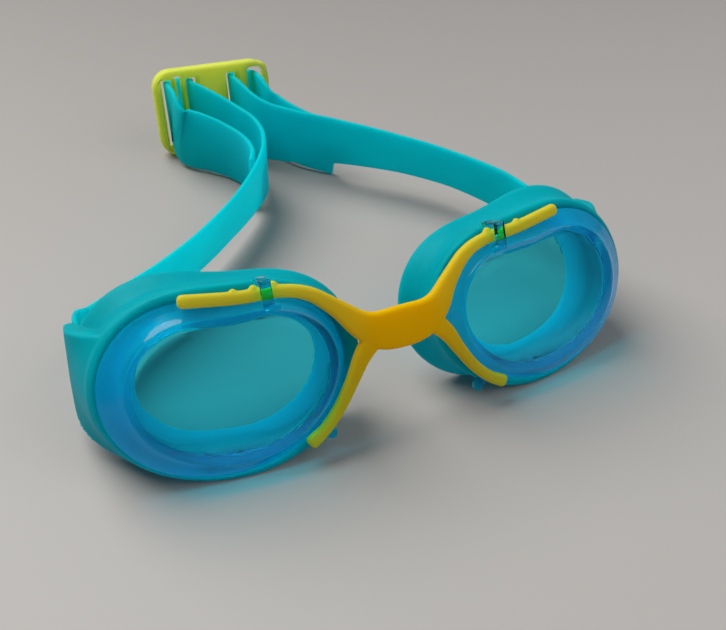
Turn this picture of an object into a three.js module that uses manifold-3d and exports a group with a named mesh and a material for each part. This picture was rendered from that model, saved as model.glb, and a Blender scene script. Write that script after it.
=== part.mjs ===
// Child's swim goggles: two rigid eye cups with soft seals, a flexible nose bridge whose
// toothed arms slide through a loop on each lens, and a two-piece strap with a four-slot buckle.
// Millimetres, +Z up, standing on z = 0 with the cups leaning back and the strap behind them.
import * as THREE from 'three';
import { mergeVertices } from 'three/addons/utils/BufferGeometryUtils.js';
import Module from 'manifold-3d';

const wasm = await Module();
wasm.setup();

const DEG = Math.PI / 180;
const GAP = 0.3;                     // between pieces that touch

// ---- driving dimensions -------------------------------------------------------------------
const LEAN = 28 * DEG;               // the cups lean back by this
const WRAP = 4.6 * DEG;              // each cup turns outward by this
const CUP_X = 40.5;                  // centre plane to cup centre
const CUP_Z = 22.2;                  // height of the cup centres above the table
const DATUM_Y = -73.05;              // moves the front unit so that the box is centred on y = 0

const WINDOW = { radius: 20.5, oval: 3.5, skew: 0.37, nose: -0.18, brow: 0.85, corner: -0.18 };
const DOME = 0.9;                    // rise of the window over its edge
const LENS_WALL = 1.7;
const RIM_FRONT = 3.9;               // depth of the lens rim behind the window edge
const RIM_BACK = 5.3;
const RIM_REACH = { all: 2.4, outer: 3.0 };

const FLANGE_FRONT = 3.8;
const FLANGE_REACH = { all: 6.2, bottom: -1.6, outer: 1.2 };
const FLANGE_SLOPE = 2.2;            // how far the flange falls back on the temple side
const SEAL_DEPTH = { all: 18.0, outer: 1.8, bottom: -3.0 };
const SEAL_REACH = { all: 4.2, bottom: -5.0, nose: 4.6, outer: 5.2, corner: 2.6, sole: -2.8 };
const SEAL_INSIDE = { all: -2.4, bottom: -2.6 };
const SKIN = 1.6;                    // silicone wall

const EAR = {
  x: 70.9, z: 9.1, half: 9.5, thick: 2.2, lean: 0.09, to: 31.6, from: -40 * DEG, upTo: 35 * DEG,
  roof: 7,
};
const STUD = { y: 27.0, radius: 2.0, head: 3.3, headThick: 1.2, slack: 0.3 };

const ARM = { thick: 2.6, tall: 3.0, front: 0.7, z: 18.6 };
const LOOP = { x: 29.75, half: 1.3, wall: 0.9 };
const TOOTH = { pitch: 4.5, long: 1.7, tall: 0.6, first: 27.5, count: 3 };
const LUG_ANGLE = 222 * DEG;
const LUG_REACH = 7.2;

const STRAP = { thick: 1.5, front: 14.4, rear: 21.5, eyelet: 4.5 };
const BUCKLE = {
  x: 0.9, y: 147.5, yaw: -3 * DEG, lean: -12 * DEG,
  wide: 41.5, tall: 30, deep: 5.8, corner: 6.4, slotTall: 23.4, slotWide: 3.8,
  inner: 7.2, outer: 15.9, round: 1.3,
};

// ---- colours ------------------------------------------------------------------------------
const silicone = new THREE.MeshStandardMaterial({ color: 0x0f9aa0, roughness: 0.55, metalness: 0 });
const clearBlue = new THREE.MeshStandardMaterial({ color: 0x1aa3d8, roughness: 0.08, metalness: 0 });
const yellow = new THREE.MeshStandardMaterial({ color: 0xeccb2f, roughness: 0.42, metalness: 0 });

// ---- small helpers ------------------------------------------------------------------------
const mix = (a, b, t) => a + (b - a) * t;
const outerWeight = (a) => (1 + Math.cos(a)) / 2;
const noseWeight = (a) => (1 - Math.cos(a)) / 2;
const bottomWeight = (a) => Math.max(0, -Math.sin(a));
const cornerWeight = (a) => Math.max(0, Math.cos(a - 48 * DEG)) ** 4;
const soleWeight = (a) => Math.max(0, Math.cos(a + 66 * DEG)) ** 3;

function windowRadius(a) {
  return WINDOW.radius + WINDOW.oval * Math.cos(2 * a) + WINDOW.skew * Math.sin(2 * a)
    + WINDOW.nose * Math.cos(3 * a) + WINDOW.brow * Math.sin(3 * a)
    + WINDOW.corner * Math.sin(4 * a);
}

// A cup's own frame: x outward from the nose, y back into the cup, z up.
function cupPoint(angle, reach, depth) {
  const r = windowRadius(angle) + reach;
  return new THREE.Vector3(r * Math.cos(angle), depth, r * Math.sin(angle));
}

function solidGeometry(points, triangles) {
  const geometry = new THREE.BufferGeometry();
  const flat = points.flatMap((p) => [p.x, p.y, p.z]);
  geometry.setAttribute('position', new THREE.Float32BufferAttribute(flat, 3));
  geometry.setIndex(triangles);
  return geometry;
}

// Joins equal closed rings of points; the last ring joins the first when looped. An open end is
// closed by a strip between the two halves of its ring, so a ring may be a bent band.
function loft(rings, looped) {
  const n = rings[0].length;
  const triangles = [];
  const last = looped ? rings.length : rings.length - 1;
  for (let i = 0; i < last; i += 1) {
    const a = i * n;
    const b = ((i + 1) % rings.length) * n;
    for (let j = 0; j < n; j += 1) {
      const k = (j + 1) % n;
      triangles.push(a + j, b + j, b + k, a + j, b + k, a + k);
    }
  }
  if (!looped) {
    const end = (rings.length - 1) * n;
    for (let j = 0; j < n / 2 - 1; j += 1) {
      const across = n - 2 - j;
      triangles.push(j, j + 1, across, j, across, across + 1);
      triangles.push(end + j, end + across, end + j + 1, end + j, end + across + 1, end + across);
    }
  }
  return solidGeometry(rings.flat(), triangles);
}

// Puts faces outward: the signed volume of a closed mesh is positive then.
function faceOut(geometry) {
  const index = geometry.index.array;
  const position = geometry.attributes.position;
  const corner = (i) => new THREE.Vector3().fromBufferAttribute(position, index[i]);
  let volume = 0;
  for (let i = 0; i < index.length; i += 3) {
    volume += corner(i).dot(corner(i + 1).cross(corner(i + 2)));
  }
  if (volume < 0) flipFaces(geometry);
  return geometry;
}

function flipFaces(geometry) {
  const index = geometry.index.array;
  for (let i = 0; i < index.length; i += 3) {
    [index[i + 1], index[i + 2]] = [index[i + 2], index[i + 1]];
  }
}

function solid(geometry) {
  const bare = geometry.clone();
  bare.deleteAttribute('normal');
  bare.deleteAttribute('uv');
  const merged = faceOut(mergeVertices(bare, 1e-4));
  return new wasm.Manifold(new wasm.Mesh({
    numProp: 3,
    vertProperties: new Float32Array(merged.attributes.position.array),
    triVerts: new Uint32Array(merged.index.array),
  }));
}

function geometryOf(manifold) {
  const mesh = manifold.getMesh();
  const geometry = new THREE.BufferGeometry();
  geometry.setAttribute('position', new THREE.BufferAttribute(mesh.vertProperties, 3));
  geometry.setIndex(new THREE.BufferAttribute(mesh.triVerts, 1));
  return geometry;
}

function mirrored(geometry) {
  const copy = geometry.clone().scale(-1, 1, 1);
  flipFaces(copy);
  return copy;
}

function slab(x0, x1, y0, y1, z0, z1) {
  const box = new THREE.BoxGeometry(x1 - x0, y1 - y0, z1 - z0);
  return box.translate((x0 + x1) / 2, (y0 + y1) / 2, (z0 + z1) / 2);
}

function roundedRect(wide, tall, radius) {
  const x = wide / 2;
  const y = tall / 2;
  const shape = new THREE.Shape();
  shape.moveTo(-x + radius, -y);
  shape.lineTo(x - radius, -y);
  shape.absarc(x - radius, -y + radius, radius, -Math.PI / 2, 0);
  shape.lineTo(x, y - radius);
  shape.absarc(x - radius, y - radius, radius, 0, Math.PI / 2);
  shape.lineTo(-x + radius, y);
  shape.absarc(-x + radius, y - radius, radius, Math.PI / 2, Math.PI);
  shape.lineTo(-x, -y + radius);
  shape.absarc(-x + radius, -y + radius, radius, Math.PI, 1.5 * Math.PI);
  return shape;
}

// ---- placing the front unit ---------------------------------------------------------------
// The front unit's own frame: x across the face, y back, z up before the lean.
const frontUnit = new THREE.Group();
frontUnit.position.set(0, DATUM_Y, CUP_Z);
frontUnit.rotation.x = -LEAN;

const rightCup = new THREE.Group();
rightCup.position.x = CUP_X;
rightCup.rotation.z = WRAP;
const leftCup = new THREE.Group();
leftCup.position.x = -CUP_X;
leftCup.rotation.z = -WRAP;
frontUnit.add(rightCup, leftCup);
frontUnit.updateMatrixWorld(true);

// Cuts a right-hand cup part flat where it stands on the table.
function standOnTable(manifold) {
  const under = slab(-200, 200, -200, 200, -100, 0);
  under.applyMatrix4(rightCup.matrixWorld.clone().invert());
  return manifold.subtract(solid(under));
}

function toCup(x, y, z) {
  return new THREE.Vector3(x, y, z).applyMatrix4(rightCup.matrix.clone().invert());
}

// ---- lens ---------------------------------------------------------------------------------
const rimReach = (a) => RIM_REACH.all + RIM_REACH.outer * outerWeight(a) ** 2;

function lensSection(a) {
  const rim = rimReach(a);
  const r = windowRadius(a);
  const dome = (share) => -DOME * (1 - share * share);
  return [
    [-r * 0.55, dome(0.45)],
    [-1.0, dome(0.95)],
    [0, 0.4],
    [rim - 0.9, RIM_FRONT - 0.5],
    [rim, RIM_FRONT],
    [rim, RIM_BACK],
    [rim - LENS_WALL - 0.5, RIM_BACK],
    [-LENS_WALL, LENS_WALL + 0.6],
    [-r * 0.55, LENS_WALL + dome(0.45)],
  ].map(([reach, depth]) => cupPoint(a, reach, depth));
}

function lensBody() {
  const turns = 56;
  const columns = [];
  for (let i = 0; i < turns; i += 1) columns.push(lensSection((i / turns) * 2 * Math.PI));
  const n = columns[0].length;
  const points = columns.flat();
  const front = points.push(new THREE.Vector3(0, -DOME, 0)) - 1;
  const back = points.push(new THREE.Vector3(0, LENS_WALL - DOME, 0)) - 1;
  const triangles = [];
  for (let i = 0; i < turns; i += 1) {
    const a = i * n;
    const b = ((i + 1) % turns) * n;
    for (let j = 0; j < n - 1; j += 1) {
      triangles.push(a + j, a + j + 1, b + j + 1, a + j, b + j + 1, b + j);
    }
    triangles.push(front, a, b);
    triangles.push(back, b + n - 1, a + n - 1);
  }
  return solid(solidGeometry(points, triangles));
}

// The loop that holds the bridge's upper arm: a front leg, a top and a back leg.
const loopAt = toCup(LOOP.x, 0, ARM.z);
const loopBottom = loopAt.z - ARM.tall / 2 - GAP;
const loopTop = loopAt.z + ARM.tall / 2 + TOOTH.tall + GAP;
const armBack = ARM.front + ARM.thick;
const TONGUE = { front: RIM_FRONT + 0.25, back: RIM_BACK };

function lensLoop(spread) {
  const x0 = loopAt.x - LOOP.half - spread;
  const x1 = loopAt.x + LOOP.half + spread;
  const foot = loopBottom - 1.9;
  const roof = loopTop + LOOP.wall + spread;
  const frontLeg = slab(x0, x1, ARM.front - 1.6, ARM.front - GAP, foot, loopTop + LOOP.wall);
  const toe = slab(x0 - 1.2, x1, ARM.front - 1.6, ARM.front - GAP, foot, foot + 1.5);
  const top = slab(x0, x1, ARM.front - 1.0, TONGUE.back + spread, loopTop, roof);
  const backLeg = slab(x0, x1, armBack + GAP, TONGUE.back + spread, loopBottom - 2.4, roof);
  return [toe, top, backLeg].reduce((all, part) => all.add(solid(part)), solid(frontLeg));
}

// The lug that the bridge's lower arm hooks against, on a tongue of the rim.
function lensLug(spread) {
  const half = 1.4 + spread;
  const tongue = slab(-half, half, TONGUE.front - spread, TONGUE.back + spread, 0, LUG_REACH);
  const post = new THREE.CylinderGeometry(1.5 + spread, 1.5 + spread, 1.7 + spread, 16);
  post.translate(0, TONGUE.back - 0.85 + spread / 2, LUG_REACH);
  const at = cupPoint(LUG_ANGLE, rimReach(LUG_ANGLE) - 2.2, 0);
  const place = (g) => solid(g.rotateY(Math.PI / 2 - LUG_ANGLE).translate(at.x, 0, at.z));
  return place(tongue).add(place(post));
}

function makeLens() {
  return geometryOf(standOnTable(lensBody().add(lensLoop(0)).add(lensLug(0))));
}

// ---- soft seal with its ear ---------------------------------------------------------------
const flangeReach = (a) => FLANGE_REACH.all + FLANGE_REACH.bottom * bottomWeight(a)
  + FLANGE_REACH.outer * outerWeight(a) ** 2;

const flangeSlope = (a) => FLANGE_SLOPE * outerWeight(a) ** 3;

function skirtSection(a) {
  const outer = outerWeight(a);
  const bottom = bottomWeight(a);
  const nose = noseWeight(a) ** 3;
  const rim = rimReach(a);
  const flange = flangeReach(a);
  const slope = flangeSlope(a);
  const depth = SEAL_DEPTH.all + SEAL_DEPTH.outer * outer ** 2.5 + SEAL_DEPTH.bottom * bottom;
  const seal = SEAL_REACH.all + SEAL_REACH.bottom * bottom ** 2.5 + SEAL_REACH.nose * nose
    + SEAL_REACH.outer * outer + SEAL_REACH.corner * cornerWeight(a)
    + SEAL_REACH.sole * soleWeight(a);
  const inside = SEAL_INSIDE.all + SEAL_INSIDE.bottom * bottom;
  const waist = Math.min(flange, seal) - 0.9 * (1 - outer);
  const middle = mix(FLANGE_FRONT + 3, depth - 3, 0.5);
  return [
    [rim + GAP, FLANGE_FRONT],
    [flange - 0.9, FLANGE_FRONT + 0.5 * slope],
    [flange, FLANGE_FRONT + 0.8 + slope],
    [flange, FLANGE_FRONT + 2.2 + 0.8 * slope],
    [mix(flange, waist, 0.8), FLANGE_FRONT + 3.2 + 0.6 * slope],
    [waist, middle],
    [seal - 0.7, depth - 3.2],
    [seal, depth - 1.8],
    [seal - 0.6, depth - 0.5],
    [seal - 2.0, depth],
    [inside, depth - 1.7],
    [inside + 0.4, depth - 2.7],
    [seal - 2.6, depth - 2.3],
    [waist - SKIN, middle],
    [rim - 0.8, RIM_BACK + 2.1],
    [rim - 1.5, RIM_BACK + 1.6],
    [rim - 1.5, RIM_BACK + GAP],
    [rim + GAP, RIM_BACK + GAP],
  ].map(([reach, deep]) => cupPoint(a, reach, deep));
}

function skirtBody() {
  const turns = 56;
  const sections = [];
  for (let i = 0; i < turns; i += 1) sections.push(skirtSection((i / turns) * 2 * Math.PI));
  return solid(loft(sections, true));
}

// The ear carries the outer wall back from the flange's edge to a flat end with a rounded rear
// edge. A roof along its top closes it to the skirt, and a stud inside holds the strap's end.
function earRing(back) {
  const count = 14;
  const outside = [];
  const inside = [];
  const flat = Math.sin((Math.PI / 2) * Math.min(1, 1.35 * back));
  for (let i = 0; i <= count; i += 1) {
    const s = (2 * i) / count - 1;
    const a = mix(EAR.from, EAR.upTo, i / count);
    const end = EAR.to - 6 * s - (s < 0 ? 6.5 : 2) * s ** 4;
    const roof = EAR.roof * (1 - back) * Math.min(1, 4 * back) * Math.max(0, 5 * s - 4);
    const edges = [[EAR.thick / 2, -0.1, 0.9], [-EAR.thick / 2 - roof, -2.0, 2.5]];
    const [outer, inner] = edges.map(([side, reach, depth]) => {
      const front = cupPoint(a, flangeReach(a) + reach, FLANGE_FRONT + depth + flangeSlope(a));
      const up = EAR.half * s;
      const rear = toCup(EAR.x + side - EAR.lean * up, end, EAR.z + up);
      return new THREE.Vector3(
        mix(front.x, rear.x, flat), mix(front.y, rear.y, back), mix(front.z, rear.z, back),
      );
    });
    outside.push(outer);
    inside.unshift(inner);
  }
  return [...outside, ...inside];
}

function makeEar() {
  const steps = 8;
  const rings = [];
  for (let i = 0; i <= steps; i += 1) rings.push(earRing(i / steps));
  return loft(rings, false);
}

function makeStud() {
  const long = EAR.thick / 2 + STRAP.thick + 2 * (GAP + STUD.slack);
  const shank = new THREE.CylinderGeometry(STUD.radius, STUD.radius, long + 0.4, 24);
  shank.rotateZ(Math.PI / 2).translate(EAR.x - (long + 0.4) / 2, STUD.y, EAR.z);
  const head = new THREE.CylinderGeometry(STUD.head, STUD.head, STUD.headThick, 24);
  head.rotateZ(Math.PI / 2).translate(EAR.x - long - STUD.headThick / 2, STUD.y, EAR.z);
  return solid(shank).add(solid(head));
}

// The roof closes off a small pocket against the skirt; the outer shell alone leaves it solid.
function makeSkirt() {
  const stud = geometryOf(makeStud());
  stud.applyMatrix4(rightCup.matrix.clone().invert());
  const ear = solid(makeEar()).add(solid(stud));
  const whole = skirtBody().add(ear).subtract(lensLoop(GAP)).subtract(lensLug(GAP));
  const shells = standOnTable(whole).decompose();
  return geometryOf(shells.sort((a, b) => b.volume() - a.volume())[0]);
}

// ---- nose bridge --------------------------------------------------------------------------
// An arm is a row of stations: its middle, how tall it is and where its front face lies.
// Where it follows a lens its face is parallel to the lens flange.
const alongCup = (x) => ARM.front + (x - CUP_X) * Math.tan(WRAP);
const UPPER_ARM = [
  { x: 0, z: 3.9, tall: 10.0, y: -3.7 },
  { x: 5.5, z: 4.4, tall: 9.2, y: -3.7 },
  { x: 10.0, z: 6.8, tall: 6.6, y: -3.4 },
  { x: 14.4, z: 11.4, tall: 4.3, y: -2.3 },
  { x: 20.0, z: 16.2, tall: 3.3, y: alongCup(20.0) - 0.4 },
  { x: 26.4, z: ARM.z - 0.25, tall: ARM.tall, y: alongCup(26.4) - 0.1 },
  { x: 36.0, z: ARM.z + 0.45, tall: ARM.tall, y: alongCup(36.0) - 0.1 },
  { x: 47.6, z: ARM.z + 2.4, tall: ARM.tall, y: alongCup(47.6) - 0.5 },
];
const LOWER_ARM = [
  { x: 6.5, z: 4.0, tall: 5.4, y: -3.6 },
  { x: 10.9, z: -0.4, tall: 4.2, y: -3.4 },
  { x: 14.2, z: -5.8, tall: 3.2, y: -2.6 },
  { x: 18.0, z: -11.4, tall: 2.9, y: alongCup(18.0) - 0.5 },
  { x: 22.0, z: -15.5, tall: 2.9, y: alongCup(22.0) - 0.2 },
  { x: 25.8, z: -17.9, tall: 3.3, y: alongCup(25.8) - 0.2 },
];

function armGeometry(stations, steps) {
  const middle = new THREE.CatmullRomCurve3(stations.map((s) => new THREE.Vector3(s.x, 0, s.z)));
  const extra = new THREE.CatmullRomCurve3(stations.map((s) => new THREE.Vector3(s.tall, s.y, 0)));
  const rings = [];
  for (let i = 0; i <= steps; i += 1) {
    const t = i / steps;
    const at = middle.getPoint(t);
    const along = middle.getTangent(t);
    const side = new THREE.Vector3(-along.z, 0, along.x);
    const { x: tall, y: front } = extra.getPoint(t);
    rings.push(armRing(at, side, tall, front));
  }
  return loft(rings, false);
}

function armRing(at, side, tall, front) {
  const bevel = 0.6;
  const half = tall / 2;
  const back = front + ARM.thick;
  const corners = [
    [half - bevel, front], [half, front + bevel], [half, back - bevel], [half - bevel, back],
    [bevel - half, back], [-half, back - bevel], [-half, front + bevel], [bevel - half, front],
  ];
  return corners.map(([up, y]) => new THREE.Vector3(at.x + side.x * up, y, at.z + side.z * up));
}

function makeBridge() {
  const farSide = UPPER_ARM.slice(1).reverse().map((s) => ({ ...s, x: -s.x }));
  const across = solid(armGeometry([...farSide, ...UPPER_ARM], 64));
  let half = solid(armGeometry(LOWER_ARM, 18));
  for (let i = 0; i < TOOTH.count; i += 1) {
    const tooth = new THREE.CylinderGeometry(TOOTH.long / 2, TOOTH.long / 2, ARM.thick - 0.6, 12);
    const x = TOOTH.first + i * TOOTH.pitch;
    tooth.translate(x, alongCup(x) + ARM.thick / 2, ARM.z + ARM.tall / 2 + 0.03 * (x - LOOP.x));
    half = half.add(solid(tooth));
  }
  return geometryOf(across.add(half).add(solid(mirrored(geometryOf(half)))));
}

// ---- buckle -------------------------------------------------------------------------------
const buckleUnit = new THREE.Group();
buckleUnit.position.set(BUCKLE.x, BUCKLE.y + DATUM_Y, BUCKLE.tall / 2 - 0.4);
buckleUnit.rotation.order = 'ZXY';
buckleUnit.rotation.z = BUCKLE.yaw;
buckleUnit.rotation.x = BUCKLE.lean;
buckleUnit.updateMatrixWorld(true);

// The buckle's own frame: x across, y away from the cups, z up.
function makeBuckle() {
  const trim = 2 * BUCKLE.round;
  const outline = roundedRect(BUCKLE.wide - trim, BUCKLE.tall - trim, BUCKLE.corner - BUCKLE.round);
  const plate = new THREE.ExtrudeGeometry(outline, {
    depth: BUCKLE.deep - trim, curveSegments: 6, bevelSegments: 2,
    bevelThickness: BUCKLE.round, bevelSize: BUCKLE.round,
  });
  plate.translate(0, 0, -(BUCKLE.deep - trim) / 2).rotateX(Math.PI / 2);
  let buckle = solid(plate);
  for (const x of [-BUCKLE.outer, -BUCKLE.inner, BUCKLE.inner, BUCKLE.outer]) {
    const half = BUCKLE.slotWide / 2;
    const tall = BUCKLE.slotTall / 2;
    buckle = buckle.subtract(solid(slab(x - half, x + half, -9, 9, -tall, tall)));
  }
  const under = slab(-200, 200, -200, 200, -100, 0);
  under.applyMatrix4(buckleUnit.matrixWorld.clone().invert());
  return geometryOf(buckle.subtract(solid(under)));
}

// ---- strap --------------------------------------------------------------------------------
// A station of a band: its middle, its width, and the way its top edge points.
const plumb = (tiltX, tiltY) => new THREE.Vector3(tiltX, tiltY, 1).normalize();

function station(x, y, z, width, tiltX, tiltY) {
  return { at: new THREE.Vector3(x, y + DATUM_Y, z), width, up: plumb(tiltX, tiltY) };
}

const buckleUp = new THREE.Vector3(0, 0, 1).applyQuaternion(buckleUnit.quaternion);
function inBuckle(x, y) {
  const at = new THREE.Vector3(x, y, 0).applyMatrix4(buckleUnit.matrix);
  return { at, width: STRAP.rear, up: buckleUp };
}

const tabX = EAR.x - EAR.thick / 2 - GAP - STUD.slack - STRAP.thick / 2;
const studAt = new THREE.Vector3(tabX, STUD.y, EAR.z).applyMatrix4(frontUnit.matrix);
function atEar(side, back, width) {
  const at = new THREE.Vector3(side * tabX, studAt.y + back, studAt.z);
  return { at, width, up: plumb(-side * EAR.lean, 0) };
}

// In at the inner slot, round the bar at the back and out again at the outer slot.
function throughBuckle(side) {
  const behind = BUCKLE.deep / 2 + 2 * GAP + STRAP.thick / 2;
  const inner = side * BUCKLE.inner;
  const outer = side * BUCKLE.outer;
  return [
    inBuckle(inner, -5), inBuckle(inner, 0.8), inBuckle(inner + side * 1.5, behind),
    inBuckle(outer - side * 1.5, behind), inBuckle(outer, 0.8), inBuckle(outer, -5.5),
  ];
}

const LEFT_BAND = [
  atEar(-1, 0, 7), atEar(-1, 4, 9), atEar(-1, 8.5, 11.5),
  station(-66.2, 41.2, 14.4, 13.2, 0.04, -0.04),
  station(-58.0, 46.4, 13.8, STRAP.front, 0.08, -0.1),
  station(-44.8, 55.0, 12.8, STRAP.front, 0.1, -0.13),
  station(-30.2, 65.6, 12.4, 14.8, 0.1, -0.13),
  station(-15.6, 78.7, 12.4, 15.6, 0.1, -0.12),
  station(-3.5, 92, 12.6, 17.8, 0.06, -0.06),
  station(4.2, 104, 12.6, 20.0, 0.0, 0.0),
  station(6.4, 115.5, 12.8, STRAP.rear, -0.06, 0.06),
  station(2.2, 127.5, 13.4, STRAP.rear, -0.02, 0.14),
  ...throughBuckle(-1),
  station(-14.2, 135.2, 12.2, STRAP.rear, -0.04, 0.16),
  station(-8.6, 128.6, 11.6, 21.2, -0.06, 0.1),
  station(-3.2, 121.4, 11.0, 20.6, -0.06, 0.04),
  station(0.4, 112.5, 10.6, 20.0, -0.04, 0.0),
  station(0.4, 105, 10.3, 19.4, 0.0, 0.0),
  station(-2.0, 99, 10.0, 18.8, 0.0, 0.0),
];
const RIGHT_BAND = [
  atEar(1, 0, 7), atEar(1, 4, 9), atEar(1, 8.5, 11.5),
  station(69.0, 47, 14.8, 13.2, -0.02, -0.02),
  station(66.2, 60, 14.6, STRAP.front, -0.08, -0.06),
  station(58.6, 76.6, 14.5, 14.2, -0.12, -0.1),
  station(47.0, 91.0, 15.0, 15.2, -0.12, -0.12),
  station(32, 105.6, 15.1, 16.8, -0.04, -0.04),
  station(19, 116.5, 14.6, 19.2, 0.06, 0.06),
  station(11.2, 127.5, 14.0, 21.0, 0.04, 0.16),
  ...throughBuckle(1),
  station(17.6, 133.5, 12.8, STRAP.rear, 0.04, 0.16),
  station(23.4, 121, 11.2, 20.4, 0.06, 0.08),
  station(32.4, 110.6, 9.9, 19.6, 0.04, 0.04),
];

function bandRing(middle, along, up, width, thick) {
  const across = new THREE.Vector3().crossVectors(along, up).normalize();
  const high = new THREE.Vector3().crossVectors(across, along).normalize();
  const t = thick / 2;
  const w = width / 2;
  const corners = [
    [t, w - 0.5], [t - 0.5, w], [0.5 - t, w], [-t, w - 0.5],
    [-t, 0.5 - w], [0.5 - t, -w], [t - 0.5, -w], [t, 0.5 - w],
  ];
  return corners.map(([a, h]) => middle.clone().addScaledVector(across, a).addScaledVector(high, h));
}

function bandGeometry(stations) {
  const middle = new THREE.CatmullRomCurve3(stations.map((s) => s.at), false, 'catmullrom', 0.5);
  const steps = 4 * (stations.length - 1);
  const rings = [];
  for (let i = 0; i <= steps; i += 1) {
    const t = i / steps;
    const place = Math.min(Math.floor(t * (stations.length - 1)), stations.length - 2);
    const share = t * (stations.length - 1) - place;
    const from = stations[place];
    const to = stations[place + 1];
    const up = from.up.clone().lerp(to.up, share);
    const width = mix(from.width, to.width, share);
    rings.push(bandRing(middle.getPoint(t), middle.getTangent(t), up, width, STRAP.thick));
  }
  return loft(rings, false);
}

// The band's front end is a round eyelet on the ear's stud.
function makeBand(stations, side) {
  const disc = (radius, thick) => {
    const round = new THREE.CylinderGeometry(radius, radius, thick, 28);
    round.rotateZ(Math.PI / 2).rotateY(-side * EAR.lean);
    return solid(round.translate(side * tabX, studAt.y, studAt.z));
  };
  const whole = solid(bandGeometry(stations)).add(disc(STRAP.eyelet, STRAP.thick));
  return geometryOf(whole.subtract(disc(STUD.radius + GAP, 8)));
}

const goggles = new THREE.Group();

function addPart(parent, name, geometry, material) {
  const mesh = new THREE.Mesh(geometry, material);
  mesh.name = name;
  parent.add(mesh);
}

const lens = makeLens();
const skirt = makeSkirt();
addPart(rightCup, 'lens_right', lens, clearBlue);
addPart(rightCup, 'seal_right', skirt, silicone);
addPart(leftCup, 'lens_left', mirrored(lens), clearBlue);
addPart(leftCup, 'seal_left', mirrored(skirt), silicone);
addPart(frontUnit, 'nose_bridge', makeBridge(), yellow);
addPart(buckleUnit, 'buckle', makeBuckle(), yellow);
addPart(goggles, 'strap_left', makeBand(LEFT_BAND, -1), silicone);
addPart(goggles, 'strap_right', makeBand(RIGHT_BAND, 1), silicone);
goggles.add(frontUnit, buckleUnit);

export default goggles;
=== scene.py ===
import math

import bmesh
import bpy
from mathutils import Matrix, Vector


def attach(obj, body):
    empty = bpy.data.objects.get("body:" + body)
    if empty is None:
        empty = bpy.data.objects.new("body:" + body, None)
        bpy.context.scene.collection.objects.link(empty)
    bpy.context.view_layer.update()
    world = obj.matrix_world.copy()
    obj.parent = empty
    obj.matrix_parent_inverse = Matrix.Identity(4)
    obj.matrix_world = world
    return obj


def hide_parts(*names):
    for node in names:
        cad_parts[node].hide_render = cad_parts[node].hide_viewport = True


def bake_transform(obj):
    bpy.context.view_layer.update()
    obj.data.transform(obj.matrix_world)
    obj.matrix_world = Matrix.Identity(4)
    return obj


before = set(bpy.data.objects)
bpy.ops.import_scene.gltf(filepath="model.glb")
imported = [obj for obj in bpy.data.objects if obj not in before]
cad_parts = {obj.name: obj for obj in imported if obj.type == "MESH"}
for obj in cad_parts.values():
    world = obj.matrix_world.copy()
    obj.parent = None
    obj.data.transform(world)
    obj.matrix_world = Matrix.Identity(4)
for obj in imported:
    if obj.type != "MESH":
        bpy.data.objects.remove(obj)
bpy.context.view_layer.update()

MM = 0.001
TAU = 2 * math.pi

# ---- dimensions shared with the CAD ---------------------------------------------------------
LEAN = math.radians(28)
WRAP = math.radians(4.6)
CUP_X = 40.5
CUP_Z = 22.2
DATUM_Y = -73.05
GAP = 0.3

WINDOW = {"radius": 20.5, "oval": 3.5, "skew": 0.37, "nose": -0.18, "brow": 0.85, "corner": -0.18}
DOME = 0.9
LENS_WALL = 1.7
RIM_FRONT = 3.9
RIM_BACK = 5.3
RIM_REACH = {"all": 2.4, "outer": 3.0}

FLANGE_FRONT = 3.8
FLANGE_REACH = {"all": 6.2, "bottom": -1.6, "outer": 1.2}
FLANGE_SLOPE = 2.2
SEAL_DEPTH = {"all": 18.0, "outer": 1.8, "bottom": -3.0}
SEAL_REACH = {"all": 4.2, "bottom": -5.0, "nose": 4.6, "outer": 5.2, "corner": 2.6, "sole": -2.8}
SEAL_INSIDE = {"all": -2.4, "bottom": -2.6}
SKIN = 1.6

EAR = {
    "x": 70.9, "z": 9.1, "half": 9.5, "thick": 2.2, "lean": 0.09, "end": 31.6,
    "first": math.radians(-40), "last": math.radians(35), "roof": 3.5,
}
STUD = {"y": 27.0, "radius": 2.0, "head": 3.3, "head_thick": 1.2, "slack": 0.3}

ARM = {"thick": 2.6, "tall": 3.0, "front": 0.7, "z": 18.6}
LOOP = {"x": 29.75, "half": 1.3, "wall": 0.9}
TOOTH = {"pitch": 4.5, "long": 1.7, "tall": 0.6, "first": 27.5, "count": 3}
LUG_ANGLE = math.radians(222)
LUG_REACH = 6.3
LUG_RADIUS = 1.5

SEAL_VOXEL = 0.34
BRIDGE_VOXEL = 0.26
TIP_LONG = 1.0
TIP_KEPT = 0.25
ON_TABLE = 0.02
BEVEL_STEPS = 3

STRAP = {"thick": 1.5, "front": 14.4, "rear": 21.5, "eyelet": 4.5}
BUCKLE = {
    "x": 0.9, "y": 147.5, "yaw": math.radians(-3), "lean": math.radians(-12),
    "wide": 41.5, "tall": 30, "deep": 5.8, "corner": 6.4, "slot_tall": 23.4, "slot_wide": 3.8,
    "inner": 7.2, "outer": 15.9, "round": 1.3,
}


def mix(a, b, t):
    return a + (b - a) * t


def outer_weight(a):
    return (1 + math.cos(a)) / 2


def nose_weight(a):
    return (1 - math.cos(a)) / 2


def bottom_weight(a):
    return max(0.0, -math.sin(a))


def corner_weight(a):
    return max(0.0, math.cos(a - math.radians(48))) ** 4


def sole_weight(a):
    return max(0.0, math.cos(a + math.radians(66))) ** 3


def window_radius(a):
    return (
        WINDOW["radius"] + WINDOW["oval"] * math.cos(2 * a) + WINDOW["skew"] * math.sin(2 * a)
        + WINDOW["nose"] * math.cos(3 * a) + WINDOW["brow"] * math.sin(3 * a)
        + WINDOW["corner"] * math.sin(4 * a)
    )


def cup_point(a, reach, depth):
    r = window_radius(a) + reach
    return Vector((r * math.cos(a), depth, r * math.sin(a)))


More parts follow.
